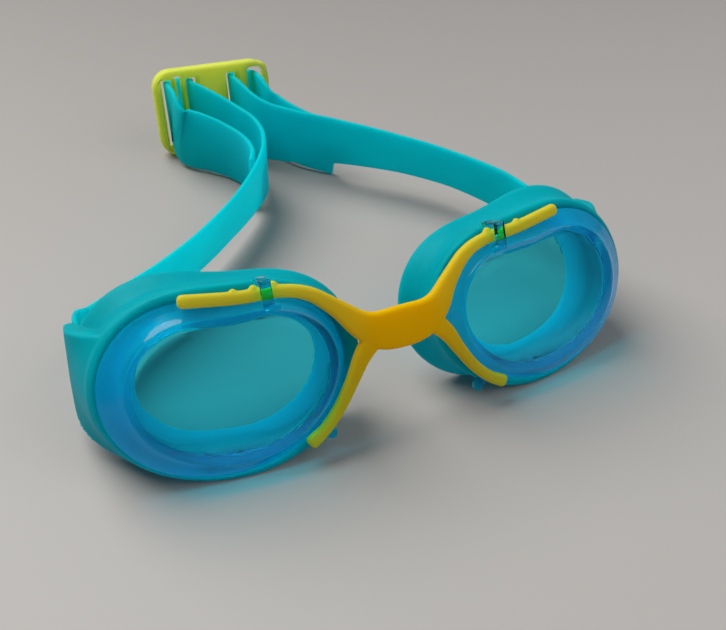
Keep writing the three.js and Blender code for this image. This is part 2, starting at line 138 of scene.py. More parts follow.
# ---- placing --------------------------------------------------------------------------------
FRONT = Matrix.Translation((0, DATUM_Y, CUP_Z)) @ Matrix.Rotation(-LEAN, 4, "X")
IN_FRONT = Matrix.Translation((CUP_X, 0, 0)) @ Matrix.Rotation(WRAP, 4, "Z")
RIGHT_CUP = FRONT @ IN_FRONT
MIRROR = Matrix.Scale(-1, 4, (1, 0, 0))
BUCKLE_AT = (
    Matrix.Translation((BUCKLE["x"], BUCKLE["y"] + DATUM_Y, BUCKLE["tall"] / 2 - 0.4))
    @ Matrix.Rotation(BUCKLE["yaw"], 4, "Z") @ Matrix.Rotation(BUCKLE["lean"], 4, "X")
)


# ---- mesh helpers ---------------------------------------------------------------------------
def mesh_of(points, faces):
    mesh = bpy.data.meshes.new("shape")
    mesh.from_pydata([tuple(p) for p in points], [], faces)
    mesh.validate()
    fix_normals(mesh)
    return mesh


def fix_normals(mesh):
    bm = bmesh.new()
    bm.from_mesh(mesh)
    bmesh.ops.recalc_face_normals(bm, faces=bm.faces)
    bm.to_mesh(mesh)
    bm.free()


def object_of(name, mesh):
    thing = bpy.data.objects.new(name, mesh)
    bpy.context.scene.collection.objects.link(thing)
    return thing


def loft(rings, looped):
    """Joins equal closed rings of points. An open end is closed by a strip between the two halves
    of its ring, so a ring may be a bent band."""
    n = len(rings[0])
    faces = []
    last = len(rings) if looped else len(rings) - 1
    for i in range(last):
        a = i * n
        b = ((i + 1) % len(rings)) * n
        for j in range(n):
            k = (j + 1) % n
            faces.append((a + j, b + j, b + k, a + k))
    if not looped:
        end = (len(rings) - 1) * n
        for j in range(n // 2 - 1):
            across = n - 2 - j
            faces.append((j, j + 1, across, across + 1))
            faces.append((end + across + 1, end + across, end + j + 1, end + j))
    return mesh_of([p for ring in rings for p in ring], faces)


def block(x0, x1, y0, y1, z0, z1, bevel):
    """A box between the given limits, with softened edges."""
    bm = bmesh.new()
    bmesh.ops.create_cube(bm, size=1)
    size = Vector((x1 - x0, y1 - y0, z1 - z0))
    centre = Vector(((x0 + x1) / 2, (y0 + y1) / 2, (z0 + z1) / 2))
    for v in bm.verts:
        v.co = Vector((v.co.x * size.x, v.co.y * size.y, v.co.z * size.z)) + centre
    if bevel:
        bmesh.ops.bevel(
            bm, geom=bm.edges[:], offset=bevel, segments=BEVEL_STEPS, profile=0.5, affect="EDGES"
        )
    mesh = bpy.data.meshes.new("block")
    bm.to_mesh(mesh)
    bm.free()
    return mesh


def rod(start, end, radius, bevel=0.0, sides=40):
    """A cylinder from start to end, with softened rims."""
    axis = Vector(end) - Vector(start)
    bm = bmesh.new()
    bmesh.ops.create_cone(
        bm, cap_ends=True, segments=sides, radius1=radius, radius2=radius, depth=axis.length
    )
    if bevel:
        rims = [e for e in bm.edges if abs(e.verts[0].co.z - e.verts[1].co.z) < 1e-6]
        bmesh.ops.bevel(
            bm, geom=rims, offset=bevel, segments=BEVEL_STEPS, profile=0.5, affect="EDGES"
        )
    turn = axis.to_track_quat("Z", "Y").to_matrix().to_4x4()
    bm.transform(Matrix.Translation((Vector(start) + Vector(end)) / 2) @ turn)
    mesh = bpy.data.meshes.new("rod")
    bm.to_mesh(mesh)
    bm.free()
    return mesh


def apply_modifiers(thing):
    graph = bpy.context.evaluated_depsgraph_get()
    mesh = bpy.data.meshes.new_from_object(thing.evaluated_get(graph))
    thing.modifiers.clear()
    thing.data = mesh


def combine(thing, meshes, operation):
    """Boolean of a thing with each mesh in turn."""
    for mesh in meshes:
        other = object_of("cutter", mesh)
        step = thing.modifiers.new("join", "BOOLEAN")
        step.operation = operation
        step.object = other
        step.solver = "EXACT"
        apply_modifiers(thing)
        bpy.data.objects.remove(other)


def melt(thing, voxel, rounds):
    """Fuses overlapping forms into one skin and rounds where they meet."""
    skin = thing.modifiers.new("skin", "REMESH")
    skin.mode = "VOXEL"
    skin.voxel_size = voxel
    soften = thing.modifiers.new("soften", "SMOOTH")
    soften.iterations = rounds
    soften.factor = 0.5
    apply_modifiers(thing)


def joined(name, meshes):
    bm = bmesh.new()
    for mesh in meshes:
        bm.from_mesh(mesh)
    mesh = bpy.data.meshes.new(name)
    bm.to_mesh(mesh)
    bm.free()
    return object_of(name, mesh)


def stand_on_table(thing):
    """Presses what would be under the table flat onto it, in world millimetres."""
    for v in thing.data.vertices:
        v.co.z = max(v.co.z, ON_TABLE)


def finish_piece(thing, name, body, node, materials, side=1, sharp=40):
    """Names a piece made in world millimetres, mirrors it for the left, and hangs it on a body."""
    if side < 0:
        thing.data.transform(MIRROR)
        thing.data.flip_normals()
    thing.data.transform(Matrix.Scale(MM, 4))
    thing.name = name
    thing.data.name = name
    thing.data.materials.clear()
    for material in materials:
        thing.data.materials.append(material)
    thing.data.shade_smooth()
    thing.data.set_sharp_from_angle(angle=math.radians(sharp))
    if body:
        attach(thing, body)
    if node:
        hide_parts(node)


# ---- materials ------------------------------------------------------------------------------
def new_material(name):
    material = bpy.data.materials.new(name)
    material.use_nodes = True
    nodes = material.node_tree.nodes
    shader = nodes["Principled BSDF"]
    return material, nodes, material.node_tree.links, shader


def coordinate(nodes, links, axis):
    """One of a point's coordinates in its piece, in metres."""
    where = nodes.new("ShaderNodeTexCoord")
    apart = nodes.new("ShaderNodeSeparateXYZ")
    links.new(where.outputs["Object"], apart.inputs["Vector"])
    return apart.outputs[axis]


def noise(nodes, links, scale, detail, rough=0.5):
    where = nodes.new("ShaderNodeTexCoord")
    texture = nodes.new("ShaderNodeTexNoise")
    texture.inputs["Scale"].default_value = scale
    texture.inputs["Detail"].default_value = detail
    texture.inputs["Roughness"].default_value = rough
    links.new(where.outputs["Object"], texture.inputs["Vector"])
    return texture.outputs["Fac"]


def ramp(nodes, links, value, stops):
    node = nodes.new("ShaderNodeValToRGB")
    elements = node.color_ramp.elements
    for element, (at, colour) in zip(elements, (stops[0], stops[-1])):
        element.position = at
        element.color = (*colour, 1)
    for at, colour in stops[1:-1]:
        element = elements.new(at)
        element.color = (*colour, 1)
    links.new(value, node.inputs["Fac"])
    return node.outputs["Color"]


def spread(nodes, links, value, low, high):
    node = nodes.new("ShaderNodeMapRange")
    node.inputs["From Min"].default_value = 0.3
    node.inputs["From Max"].default_value = 0.7
    node.inputs["To Min"].default_value = low
    node.inputs["To Max"].default_value = high
    links.new(value, node.inputs["Value"])
    return node.outputs["Result"]


def bump(nodes, links, shader, height, strength, distance):
    node = nodes.new("ShaderNodeBump")
    node.inputs["Strength"].default_value = strength
    node.inputs["Distance"].default_value = distance
    links.new(height, node.inputs["Height"])
    links.new(node.outputs["Normal"], shader.inputs["Normal"])


def let_light_through(nodes, links, shader, colour, share):
    """Thin silicone and plastic pass on some of the light that falls on their far side."""
    through = nodes.new("ShaderNodeBsdfTranslucent")
    links.new(colour, through.inputs["Color"])
    blend = nodes.new("ShaderNodeMixShader")
    blend.inputs["Fac"].default_value = share
    links.new(shader.outputs["BSDF"], blend.inputs[1])
    links.new(through.outputs["BSDF"], blend.inputs[2])
    links.new(blend.outputs["Shader"], nodes["Material Output"].inputs["Surface"])


def satin(nodes, links, shader, rough, soft, deep, grain):
    """Uneven polish, fine grain, and light that soaks in. The tint named deep is both how far each
    colour soaks in and the colour of the sheen."""
    polish = noise(nodes, links, 240, 4)
    links.new(spread(nodes, links, polish, rough - 0.06, rough + 0.07), shader.inputs["Roughness"])
    bump(nodes, links, shader, noise(nodes, links, 2600, 3), grain, 0.0002)
    shader.inputs["Subsurface Weight"].default_value = soft
    shader.inputs["Subsurface Radius"].default_value = deep
    shader.inputs["Subsurface Scale"].default_value = 0.004
    shader.inputs["Specular IOR Level"].default_value = 0.15
    shader.inputs["Specular Tint"].default_value = (*deep, 1)


def moulded(name, dark, light, rough, soft, deep, grain, share):
    """Satin moulded silicone or plastic with a slow drift of colour."""
    material, nodes, links, shader = new_material(name)
    drift = noise(nodes, links, 55, 3)
    colour = ramp(nodes, links, drift, ((0.3, dark), (0.7, light)))
    links.new(colour, shader.inputs["Base Color"])
    satin(nodes, links, shader, rough, soft, deep, grain)
    let_light_through(nodes, links, shader, colour, share)
    return material


def bridge_yellow_painted_light():
    """Deep yellow in the thick middle, painted paler and lemon along the thin arms as painted light,
    for light passing through the thin plastic.
    """
    material, nodes, links, shader = new_material("yellow_bridge")
    # The paleness along the arms is painted light, laid on by distance from the middle.
    away = nodes.new("ShaderNodeMath")
    away.operation = "ABSOLUTE"
    links.new(coordinate(nodes, links, "X"), away.inputs[0])
    share = nodes.new("ShaderNodeMapRange")
    share.inputs["From Min"].default_value = 0.007
    share.inputs["From Max"].default_value = 0.024
    links.new(away.outputs["Value"], share.inputs["Value"])
    colour = ramp(nodes, links, share.outputs["Result"], (
        (0, (1.0, 0.62, 0.0)), (1, (0.84, 0.72, 0.06)),
    ))
    links.new(colour, shader.inputs["Base Color"])
    satin(nodes, links, shader, 0.36, 0.4, (1.0, 0.7, 0.2), 0.08)
    let_light_through(nodes, links, shader, colour, 0.45)
    return material


def clear_blue(name, tint, light_tint, rough, clear):
    """Clear tinted plastic that lets lamps through, with faint handling marks in its polish."""
    material, nodes, links, shader = new_material(name)
    shader.inputs["Base Color"].default_value = (*tint, 1)
    shader.inputs["Transmission Weight"].default_value = clear
    shader.inputs["IOR"].default_value = 1.3
    shader.inputs["Subsurface Weight"].default_value = 0.0 if clear == 1 else 1.0
    shader.inputs["Subsurface Radius"].default_value = (0.05, 0.8, 1.0)
    shader.inputs["Subsurface Scale"].default_value = 0.006
    marks = noise(nodes, links, 420, 6, 0.7)
    links.new(spread(nodes, links, marks, rough, rough + 0.03), shader.inputs["Roughness"])
    bump(nodes, links, shader, noise(nodes, links, 130, 2), 0.05, 0.0003)
    through = nodes.new("ShaderNodeBsdfTransparent")
    through.inputs["Color"].default_value = (*light_tint, 1)
    path = nodes.new("ShaderNodeLightPath")
    blend = nodes.new("ShaderNodeMixShader")
    links.new(path.outputs["Is Shadow Ray"], blend.inputs["Fac"])
    links.new(shader.outputs["BSDF"], blend.inputs[1])
    links.new(through.outputs["BSDF"], blend.inputs[2])
    links.new(blend.outputs["Shader"], nodes["Material Output"].inputs["Surface"])
    return material


TEAL = moulded(
    "teal_silicone", (0.0, 0.43, 0.48), (0.0, 0.50, 0.55), 0.45, 0.7, (0.1, 1.0, 1.0), 0.12, 0.45
)
# The strap's teal is a much lighter copy of the skirt's. It is painted light for the glow of light
# through the thin strap.
TEAL_BAND_PAINTED_LIGHT = moulded(
    "teal_band_painted_light", (0.0, 0.74, 0.80), (0.0, 0.80, 0.86), 0.45, 0.7, (0.1, 1.0, 1.0), 0.12, 0.6
)
# The lining's teal is much lighter than the skirt's. It is painted light for the bright inside of
# the cup, with a larger share of light let through from its far side.
TEAL_LINING_PAINTED_LIGHT = moulded(
    "teal_lining_painted_light", (0.0, 0.84, 1.0), (0.0, 0.90, 1.0), 0.45, 0.9, (0.1, 1.0, 1.0), 0.12, 0.6
)
YELLOW = bridge_yellow_painted_light()
LIME = moulded(
    "yellow_buckle", (0.84, 0.88, 0.12), (0.88, 0.92, 0.16), 0.36, 0.5, (1.0, 1.0, 0.3), 0.08, 0.4
)
PANE = clear_blue("clear_blue_window", (0.05, 0.70, 0.84), (0.3, 0.97, 1.0), 0.02, 1)
RIM = clear_blue("clear_blue_rim", (0.0, 0.55, 0.86), (0.1, 0.9, 1.0), 0.03, 0.7)


# ---- lenses ---------------------------------------------------------------------------------
def rim_reach(a):
    return RIM_REACH["all"] + RIM_REACH["outer"] * outer_weight(a) ** 2


def lens_section(a):
    """From the window's middle, over its edge and the rim, to the middle of its back."""
    rim = rim_reach(a)
    r = window_radius(a)
    front = []
    for share in (0.25, 0.5, 0.7, 0.85, 0.95):
        front.append((-r * (1 - share), -DOME * (1 - share * share)))
    edge = [(-0.45, 0.02), (-0.1, 0.2), (0.12, 0.5)]
    slope = [(mix(0.12, rim - 0.5, t), mix(0.5, RIM_FRONT - 0.35, t)) for t in (0.3, 0.7)]
    lip = [(rim - 0.4, RIM_FRONT - 0.28), (rim - 0.08, RIM_FRONT - 0.05), (rim, RIM_FRONT + 0.3)]
    under = [(rim, RIM_BACK - 0.3), (rim - 0.3, RIM_BACK)]
    inner = [(rim - LENS_WALL - 0.2, RIM_BACK), (rim - LENS_WALL - 0.5, RIM_BACK - 0.3)]
    wall = [(-LENS_WALL + 0.2, LENS_WALL + 1.0), (-LENS_WALL - 0.3, LENS_WALL + 0.35)]
    back = []
    for share in (0.85, 0.7, 0.5, 0.25):
        back.append((-r * (1 - share), LENS_WALL - DOME * (1 - share * share)))
    section = front + edge + slope + lip + under + inner + wall + back
    return [cup_point(a, reach, depth) for reach, depth in section]


def lens_shell():
    turns = 144
    columns = [lens_section(i / turns * TAU) for i in range(turns)]
    n = len(columns[0])
    points = [p for column in columns for p in column]
    points.append(Vector((0, -DOME, 0)))
    points.append(Vector((0, LENS_WALL - DOME, 0)))
    faces = []
    for i in range(turns):
        a = i * n
        b = ((i + 1) % turns) * n
        for j in range(n - 1):
            faces.append((a + j, a + j + 1, b + j + 1, b + j))
        faces.append((len(points) - 2, a, b))
        faces.append((len(points) - 1, b + n - 1, a + n - 1))
    return mesh_of(points, faces)


LOOP_AT = IN_FRONT.inverted() @ Vector((LOOP["x"], 0, ARM["z"]))
LOOP_BOTTOM = LOOP_AT.z - ARM["tall"] / 2 - GAP
LOOP_TOP = LOOP_AT.z + ARM["tall"] / 2 + TOOTH["tall"] + GAP
ARM_BACK = ARM["front"] + ARM["thick"]
TONGUE_FRONT = RIM_FRONT + 0.25


def loop_parts(spread_by):
    x0 = LOOP_AT.x - LOOP["half"] - spread_by
    x1 = LOOP_AT.x + LOOP["half"] + spread_by
    top = LOOP_TOP + LOOP["wall"]
    foot = LOOP_BOTTOM - 1.9
    leg = LOOP_BOTTOM - 2.4
    front = (ARM["front"] - 1.6, ARM["front"] - GAP)
    soft = 0 if spread_by else 0.35
    return [
        block(x0, x1, *front, foot, top, soft),
        block(x0 - 1.2, x1, *front, foot, foot + 1.5, soft),
        block(x0, x1, ARM["front"] - 1.5, RIM_BACK + spread_by, LOOP_TOP, top + spread_by, soft),
        block(x0, x1, ARM_BACK + GAP, RIM_BACK + spread_by, leg, top + spread_by, soft),
    ]


def lug_parts(spread_by):
    soft = 0 if spread_by else 0.3
    half = 1.4 + spread_by
    back = RIM_BACK + spread_by
    tongue = block(-half, half, TONGUE_FRONT - spread_by, back, 0, LUG_REACH, soft)
    post = rod(
        (0, TONGUE_FRONT - spread_by, LUG_REACH), (0, back, LUG_REACH),
        LUG_RADIUS + spread_by, soft,
    )
    at = cup_point(LUG_ANGLE, rim_reach(LUG_ANGLE) - 2.2, 0)
    place = Matrix.Translation((at.x, 0, at.z)) @ Matrix.Rotation(math.pi / 2 - LUG_ANGLE, 4, "Y")
    for mesh in (tongue, post):
        mesh.transform(place)
    return [tongue, post]


def window_faces(mesh):
    """For each face, 0 on the thin window and the loop, and 1 on the rim and the lug."""
    kinds = []
    for face in mesh.polygons:
        centre = face.center
        a = math.atan2(centre.z, centre.x)
        inside = math.hypot(centre.x, centre.z) < window_radius(a) - 0.3
        window = inside and centre.y < LENS_WALL + 0.3
        on_loop = centre.z > LOOP_BOTTOM - 1 and abs(centre.x - LOOP_AT.x) < LOOP["half"] + 0.1
        kinds.append(0 if window or on_loop else 1)
    return kinds


def make_lens(side, name, body, node):
    lens = object_of(name, lens_shell())
    combine(lens, loop_parts(0) + lug_parts(0), "UNION")
    kinds = window_faces(lens.data)
    lens.data.transform(RIGHT_CUP)
    finish_piece(lens, name, body, node, (PANE, RIM), side, 32)
    for face, kind in zip(lens.data.polygons, kinds):
        face.material_index = kind


# ---- seals ----------------------------------------------------------------------------------
def flange_reach(a):
    return (
        FLANGE_REACH["all"] + FLANGE_REACH["bottom"] * bottom_weight(a)
        + FLANGE_REACH["outer"] * outer_weight(a) ** 2
    )


def flange_slope(a):
    return FLANGE_SLOPE * outer_weight(a) ** 3


def seal_section(a):
    outer = outer_weight(a)
    bottom = bottom_weight(a)
    rim = rim_reach(a)
    flange = flange_reach(a)
    slope = flange_slope(a)
    depth = (
        SEAL_DEPTH["all"] + SEAL_DEPTH["outer"] * outer ** 2.5 + SEAL_DEPTH["bottom"] * bottom
    )
    seal = (
        SEAL_REACH["all"] + SEAL_REACH["bottom"] * bottom ** 2.5
        + SEAL_REACH["nose"] * nose_weight(a) ** 3 + SEAL_REACH["outer"] * outer
        + SEAL_REACH["corner"] * corner_weight(a) + SEAL_REACH["sole"] * sole_weight(a)
    )
    inside = SEAL_INSIDE["all"] + SEAL_INSIDE["bottom"] * bottom
    waist = min(flange, seal) - 0.9 * (1 - outer)
    middle = mix(FLANGE_FRONT + 3, depth - 3, 0.5)
    section = [
        (rim + GAP, FLANGE_FRONT), (flange - 1.2, FLANGE_FRONT + 0.35 * slope),
        (flange - 0.3, FLANGE_FRONT + 0.05 + 0.85 * slope), (flange, FLANGE_FRONT + 0.5 + slope),
        (flange, FLANGE_FRONT + 2.2 + 0.8 * slope),
        (mix(flange, waist, 0.8), FLANGE_FRONT + 3.2 + 0.6 * slope),
        (waist, middle), (seal - 0.7, depth - 3.2), (seal, depth - 1.8),
        (seal - 0.6, depth - 0.5), (seal - 2.0, depth), (inside, depth - 1.7),
        (inside + 0.4, depth - 2.7), (seal - 2.6, depth - 2.3), (waist - SKIN, middle),
        (rim - 0.8, RIM_BACK + 2.1), (rim - 1.5, RIM_BACK + 1.6), (rim - 1.5, RIM_BACK + GAP),
        (rim + GAP, RIM_BACK + GAP),
    ]
    return [cup_point(a, reach, deep) for reach, deep in section]


def rounded_outline(wide, tall, radius, steps=8):
    """A rounded rectangle's points, anticlockwise from the right of its lower edge."""
    points = []
    corners = ((1, -1, -90), (1, 1, 0), (-1, 1, 90), (-1, -1, 180))
    for sx, sy, first in corners:
        cx = sx * (wide / 2 - radius)
        cy = sy * (tall / 2 - radius)
        for i in range(steps + 1):
            a = math.radians(first + 90 * i / steps)
            points.append((cx + radius * math.cos(a), cy + radius * math.sin(a)))
    return points


def ear_point(s, a, back, outward):
    """A point of the ear: s runs up its height, outward from -1 inside to 1 on its outer face."""
    roof = EAR["roof"] * (1 - back) * min(1, 4 * back) * max(0, 5 * s - 4) * (1 - outward)
    reach = flange_reach(a) - 1.05 + 0.95 * outward
    front = cup_point(a, reach, FLANGE_FRONT + flange_slope(a) + 1.7 - 0.8 * outward)
    up = EAR["half"] * s
    end = EAR["end"] - 6 * s - (6.5 if s < 0 else 2) * s ** 4
    x = EAR["x"] + EAR["thick"] / 2 * outward - EAR["lean"] * up - roof
    rear = IN_FRONT.inverted() @ Vector((x, end, EAR["z"] + up))
    flat = math.sin(math.pi / 2 * min(1, 1.35 * back))
    return Vector((
        mix(front.x, rear.x, flat), mix(front.y, rear.y, back), mix(front.z, rear.z, back),
    ))


def ear_ring(back, keep):
    """A band across the ear's height: back is 0 at the flange and 1 at the rear edge."""
    middle = [-0.9 + 1.8 * i / 26 for i in range(27)]
    rows = ([], [])
    for s in [-1, -0.985, -0.95, *middle, 0.95, 0.985, 1]:
        a = mix(EAR["first"], EAR["last"], (s + 1) / 2)
        rim = 0.5 if abs(s) == 1 else 0.85 if abs(s) > 0.96 else 1
        for row, outward in zip(rows, (keep * rim, -keep * rim)):
            row.append(ear_point(s, a, back, outward))
    return rows[0] + rows[1][::-1]


def ear_mesh():
    """The ear, thinned to a rounded rim along its rear edge."""
    steps = [(i / 20 * 0.97, 1) for i in range(21)] + [(0.985, 0.88), (1, 0.55)]
    return loft([ear_ring(back, keep) for back, keep in steps], False)


def stud_meshes():
    long = EAR["thick"] / 2 + STRAP["thick"] + 2 * (GAP + STUD["slack"])
    x = EAR["x"]
    y = STUD["y"]
    z = EAR["z"]
    shank = rod((x, y, z), (x - long - 0.4, y, z), STUD["radius"])
    head = rod((x - long, y, z), (x - long - STUD["head_thick"], y, z), STUD["head"], 0.35)
    return [shank, head]


def painted_light_lining_faces(mesh):
    """For each face, 1 on the cup's lining and 0 elsewhere. The lining takes a much lighter teal,
    which is painted light on the inside of the cup, on top of the light it lets through from its far
    side.
    """
    kinds = []
    for face in mesh.polygons:
        centre = face.center
        a = math.atan2(centre.z, centre.x)
        away = math.hypot(centre.x, centre.z) - window_radius(a)
        inward = face.normal.x * math.cos(a) + face.normal.z * math.sin(a) < 0.1
        lining = away < flange_reach(a) - SKIN / 2 and centre.y > RIM_BACK and inward
        kinds.append(1 if lining and centre.y < SEAL_DEPTH["all"] + 1 else 0)
    return kinds


def make_seal(side, name, body, node):
    turns = 96
    skirt = loft([seal_section(i / turns * TAU) for i in range(turns)], True)
    rounded = object_of("skirt", skirt)
    rounded.modifiers.new("round", "SUBSURF").levels = 1
    apply_modifiers(rounded)
    studs = stud_meshes()
    for mesh in studs:
        mesh.transform(IN_FRONT.inverted())
    seal = joined(name, [rounded.data, ear_mesh()] + studs)
    bpy.data.objects.remove(rounded)
    melt(seal, SEAL_VOXEL, 4)
    combine(seal, loop_parts(GAP) + lug_parts(GAP), "DIFFERENCE")
    # Marks the lining faces that take the lighter, painted-light teal.
    kinds = painted_light_lining_faces(seal.data)
    seal.data.transform(RIGHT_CUP)
    stand_on_table(seal)
    finish_piece(seal, name, body, node, (TEAL, TEAL_LINING_PAINTED_LIGHT), side, 50)
    for face, kind in zip(seal.data.polygons, kinds):
        face.material_index = kind


# ---- nose bridge ----------------------------------------------------------------------------
def along_cup(x):
    return ARM["front"] + (x - CUP_X) * math.tan(WRAP)


# Each station: across, up, height of the arm there, and where its front face lies.
UPPER_ARM = (
    (0, 3.9, 10.0, -3.7), (5.5, 4.4, 9.2, -3.7), (10.0, 6.8, 6.6, -3.4), (14.4, 11.4, 4.3, -2.3),
    (20.0, 16.2, 3.3, along_cup(20.0) - 0.4),
    (26.4, ARM["z"] - 0.25, ARM["tall"], along_cup(26.4) - 0.1),
    (36.0, ARM["z"] + 0.45, ARM["tall"], along_cup(36.0) - 0.1),
    (47.6, ARM["z"] + 2.4, ARM["tall"], along_cup(47.6) - 0.5),
)
LOWER_ARM = (
    (6.5, 4.0, 5.4, -3.6), (10.9, -0.4, 4.2, -3.4), (14.2, -5.8, 3.2, -2.6),
    (18.0, -11.4, 2.9, along_cup(18.0) - 0.5),
    (22.0, -15.5, 2.9, along_cup(22.0) - 0.2), (25.8, -17.9, 3.3, along_cup(25.8) - 0.2),
)


def spline(points, t):
    """A uniform Catmull-Rom curve and its slope, through points of any dimension, at share t."""
    count = len(points) - 1
    place = min(int(t * count), count - 1)
    u = t * count - place
    p1 = points[place]
    p2 = points[place + 1]
    p0 = points[place - 1] if place else [2 * a - b for a, b in zip(p1, p2)]
    p3 = points[place + 2] if place + 2 <= count else [2 * b - a for a, b in zip(p1, p2)]
    value = []
    slope = []
    for a, b, c, d in zip(p0, p1, p2, p3):
        m1 = (c - a) / 2
        m2 = (d - b) / 2
        c2 = -3 * b + 3 * c - 2 * m1 - m2
        c3 = 2 * b - 2 * c + m1 + m2
        value.append(b + u * (m1 + u * (c2 + u * c3)))
        slope.append(m1 + u * (2 * c2 + 3 * c3 * u))
    return value, slope


def arm_ring(x, z, along, tall, front):
    """A rounded-rectangle section across the arm."""
    side = Vector((-along[1], 0, along[0])).normalized()
    ring = []
    for up, y in rounded_outline(tall, ARM["thick"], min(1.05, tall / 2 - 0.05), 5):
        point = Vector((x, front + ARM["thick"] / 2 + y, z)) + side * up
        ring.append(point)
    return ring


def rounded_tip(ring, way):
    """Shrinking copies of an arm's last ring, which round its end off."""
    middle = sum(ring, Vector()) / len(ring)
    tip = []
    for degrees in (25, 45, 62, 76, 86):
        a = math.radians(degrees)
        shift = way * TIP_LONG * math.sin(a)
        share = TIP_KEPT + (1 - TIP_KEPT) * math.cos(a)
        tip.append([middle + (p - middle) * share + shift for p in ring])
    return tip


def arm_mesh(stations, steps, both_ends):
    rings = []
    ways = []
    for i in range(steps + 1):
        (x, z, tall, front), slope = spline(stations, i / steps)
        rings.append(arm_ring(x, z, slope, tall, front))
        ways.append(Vector((slope[0], 0, slope[1])).normalized())
    first = rounded_tip(rings[0], -ways[0])[::-1] if both_ends else []
    return loft(first + rings + rounded_tip(rings[-1], ways[-1]), False)


def tooth_mesh(x):
    """A small rounded tooth that leans on the arm's upper edge."""
    foot = ARM["z"] + ARM["tall"] / 2 - 0.4 + 0.03 * (x - LOOP["x"])
    middle = along_cup(x) + ARM["thick"] / 2
    rings = []
    for lift, wide, deep in ((0, 2.6, 2.0), (0.5, 2.1, 1.9), (0.9, 1.5, 1.7), (1.25, 0.7, 1.2)):
        outline = rounded_outline(wide, deep, min(wide, deep) / 2 - 0.02, 5)
        rings.append([Vector((x + a, middle + b, foot + lift)) for a, b in outline])
    return loft(rings, False)


def make_bridge():
    far = tuple((-x, z, tall, front) for x, z, tall, front in reversed(UPPER_ARM[1:]))
    parts = [arm_mesh(far + UPPER_ARM, 140, True)]
    for side in (1, -1):
        half = [arm_mesh(LOWER_ARM, 50, False)]
        half += [tooth_mesh(TOOTH["first"] + i * TOOTH["pitch"]) for i in range(TOOTH["count"])]
        for mesh in half:
            if side < 0:
                mesh.transform(MIRROR)
                mesh.flip_normals()
            parts.append(mesh)
    bridge = joined("bridge_skin", parts)
    melt(bridge, BRIDGE_VOXEL, 6)
    bridge.data.transform(FRONT)
    finish_piece(bridge, "bridge_skin", "bridge", "nose_bridge", (YELLOW,), 1, 60)


# ---- buckle ---------------------------------------------------------------------------------
def make_buckle():
    """A filled outline with four slots, its edges rounded on both faces."""
    flat = bpy.data.curves.new("outline", "CURVE")
    flat.dimensions = "2D"
    flat.fill_mode = "BOTH"
    trim = BUCKLE["round"]
    outlines = [(0, BUCKLE["wide"] - 2 * trim, BUCKLE["tall"] - 2 * trim, BUCKLE["corner"] - trim)]
    for x in (-BUCKLE["outer"], -BUCKLE["inner"], BUCKLE["inner"], BUCKLE["outer"]):
        outlines.append((x, BUCKLE["slot_wide"] + 2 * trim, BUCKLE["slot_tall"] + 2 * trim, 1.6))
    for x, wide, tall, radius in outlines:
        points = rounded_outline(wide, tall, radius, 8)
        ring = flat.splines.new("POLY")
        ring.points.add(len(points) - 1)
        for point, (a, b) in zip(ring.points, points):
            point.co = (x + a, b, 0, 1)
        ring.use_cyclic_u = True
    flat.extrude = BUCKLE["deep"] / 2 - trim
    flat.bevel_depth = trim
    flat.bevel_resolution = 4
    shape = object_of("buckle_shape", flat)
    graph = bpy.context.evaluated_depsgraph_get()
    mesh = bpy.data.meshes.new_from_object(shape.evaluated_get(graph))
    bpy.data.objects.remove(shape)
    mesh.transform(BUCKLE_AT @ Matrix.Rotation(math.pi / 2, 4, "X"))
    bm = bmesh.new()
    bm.from_mesh(mesh)
    bmesh.ops.remove_doubles(bm, verts=bm.verts, dist=0.001)
    bmesh.ops.recalc_face_normals(bm, faces=bm.faces)
    bm.to_mesh(mesh)
    bm.free()
    buckle = object_of("buckle_plate", mesh)
    stand_on_table(buckle)
    finish_piece(buckle, "buckle_plate", "strap", "buckle", (LIME,), 1, 35)


# ---- strap ----------------------------------------------------------------------------------
BUCKLE_UP = (BUCKLE_AT.to_3x3() @ Vector((0, 0, 1))).normalized()
TAB_X = EAR["x"] - EAR["thick"] / 2 - GAP - STUD["slack"] - STRAP["thick"] / 2
STUD_AT = FRONT @ Vector((TAB_X, STUD["y"], EAR["z"]))


def station(x, y, z, width, tilt_x, tilt_y):
    up = Vector((tilt_x, tilt_y, 1)).normalized()
    return (x, y + DATUM_Y, z, width, *up)


def in_buckle(x, y):
    at = BUCKLE_AT @ Vector((x, y, 0))
    return (*at, STRAP["rear"], *BUCKLE_UP)


def at_ear(side, back, width):
    return (side * TAB_X, STUD_AT.y + back, STUD_AT.z, width, -side * EAR["lean"], 0, 1)


def through_buckle(side):
    behind = BUCKLE["deep"] / 2 + 2 * GAP + STRAP["thick"] / 2
    inner = side * BUCKLE["inner"]
    outer = side * BUCKLE["outer"]
    return [
        in_buckle(inner, -5), in_buckle(inner, 0.8), in_buckle(inner + side * 1.5, behind),
        in_buckle(outer - side * 1.5, behind), in_buckle(outer, 0.8), in_buckle(outer, -5.5),
    ]


